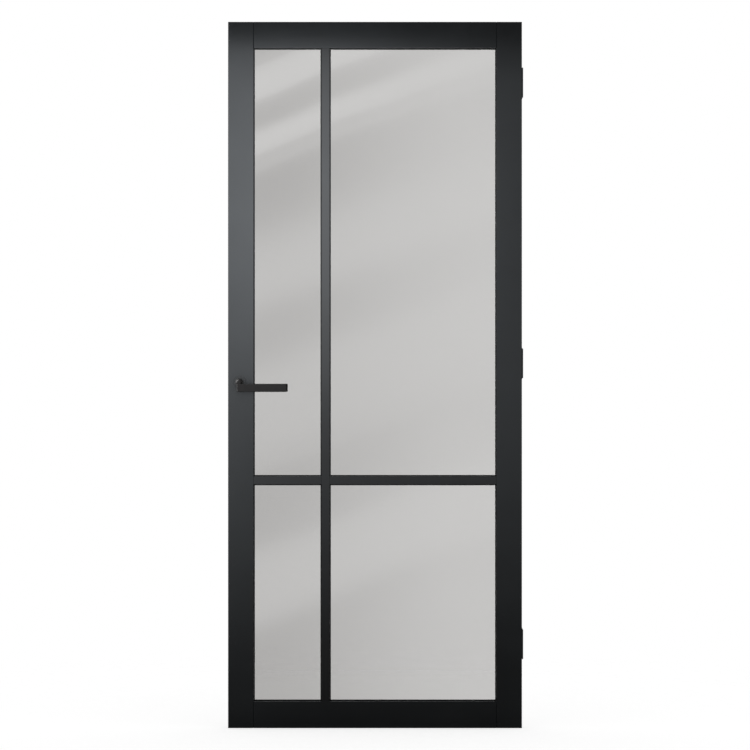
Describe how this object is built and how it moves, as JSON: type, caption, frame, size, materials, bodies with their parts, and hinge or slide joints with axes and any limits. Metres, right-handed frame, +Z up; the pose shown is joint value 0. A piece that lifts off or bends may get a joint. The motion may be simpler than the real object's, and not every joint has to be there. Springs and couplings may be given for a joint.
{
  "type": "framed glass door leaf",
  "caption": "Black steel-look interior door leaf: slim stiles and rails with glazing bars, clear panes, bar levers on a flush latch, hung on butt hinges.",
  "frame": {"origin": "middle of the leaf's bottom edge, halfway through its thickness", "axes": "+X to the right as seen from the front, towards the hinges; +Y to the back, the side the leaf opens to; +Z up"},
  "size_m": [0.884, 0.156, 2.115],
  "materials": {
    "black_lacquer": "satin black lacquer on wood",
    "dowel_wood": "bare beech",
    "clear_glass": "clear tempered glass, faint grey",
    "gasket_rubber": "matt black rubber",
    "black_metal": "satin black coating on steel",
    "bare_steel": "zinc-plated steel",
    "nickel": "nickel-plated magnet",
    "nylon": "black nylon"
  },
  "bodies": {
    "jamb_plates": {"bottom_jamb_plate": "black_metal", "middle_jamb_plate": "black_metal", "top_jamb_plate": "black_metal", "hinge_pins": "black_metal", "bearing_rings": "bare_steel"},
    "leaf": {"back_rosette": "black_metal", "back_rosette_base": "nylon", "bar_dowels": "dowel_wood", "bottom_leaf_plate": "black_metal", "bottom_rail": "black_lacquer", "case_cover": "bare_steel", "forend_plate": "black_metal", "frame_dowels": "dowel_wood", "front_rosette": "black_metal", "front_rosette_base": "nylon", "hinge_screws": "black_metal", "hinge_stile": "black_lacquer", "latch_case": "bare_steel", "left_cross_bar": "black_lacquer", "lever_springs": "bare_steel", "lock_stile": "black_lacquer", "lower_left_bottom_bead": "black_lacquer", "lower_left_gasket": "gasket_rubber", "lower_left_left_bead": "black_lacquer", "lower_left_pane": "clear_glass", "lower_left_right_bead": "black_lacquer", "lower_left_top_bead": "black_lacquer", "lower_right_bottom_bead": "black_lacquer", "lower_right_gasket": "gasket_rubber", "lower_right_left_bead": "black_lacquer", "lower_right_pane": "clear_glass", "lower_right_right_bead": "black_lacquer", "lower_right_top_bead": "black_lacquer", "middle_leaf_plate": "black_metal", "right_cross_bar": "black_lacquer", "small_screws": "black_metal", "top_leaf_plate": "black_metal", "top_rail": "black_lacquer", "upper_left_bottom_bead": "black_lacquer", "upper_left_gasket": "gasket_rubber", "upper_left_left_bead": "black_lacquer", "upper_left_pane": "clear_glass", "upper_left_right_bead": "black_lacquer", "upper_left_top_bead": "black_lacquer", "upper_right_bottom_bead": "black_lacquer", "upper_right_gasket": "gasket_rubber", "upper_right_left_bead": "black_lacquer", "upper_right_pane": "clear_glass", "upper_right_right_bead": "black_lacquer", "upper_right_top_bead": "black_lacquer", "vertical_bar": "black_lacquer"},
    "levers": {"front_lever": "black_metal", "back_lever": "black_metal", "spindle": "bare_steel", "follower": "bare_steel", "grub_screws": "bare_steel"},
    "carriage": {"latch_carriage": "bare_steel"},
    "bolt": {"latch_bolt": "bare_steel", "bolt_magnet": "nickel"}
  },
  "joints": [
    {"name": "leaf_swing", "type": "hinge", "parent": "jamb_plates", "child": "leaf", "pos_m": [0.439, 0.0265, 0], "axis": [0, 0, -1], "range_deg": [0, 120]},
    {"name": "lever_turn", "type": "hinge", "parent": "leaf", "child": "levers", "pos_m": [-0.405, 0, 1.036], "axis": [0, 1, 0], "range_deg": [0, 40], "stiffness_Nm_per_rad": 1.5, "springref_deg": -45.84},
    {"name": "carriage_slide", "type": "slide", "parent": "leaf", "child": "carriage", "axis": [1, 0, 0], "range_m": [0, 0.01]},
    {"name": "bolt_slide", "type": "slide", "parent": "carriage", "child": "bolt", "axis": [-1, 0, 0], "range_m": [0, 0.01]}
  ],
  "couplings": [
    {"joint": "carriage_slide", "follows": "lever_turn", "m_per_rad": 0.01432}
  ]
}
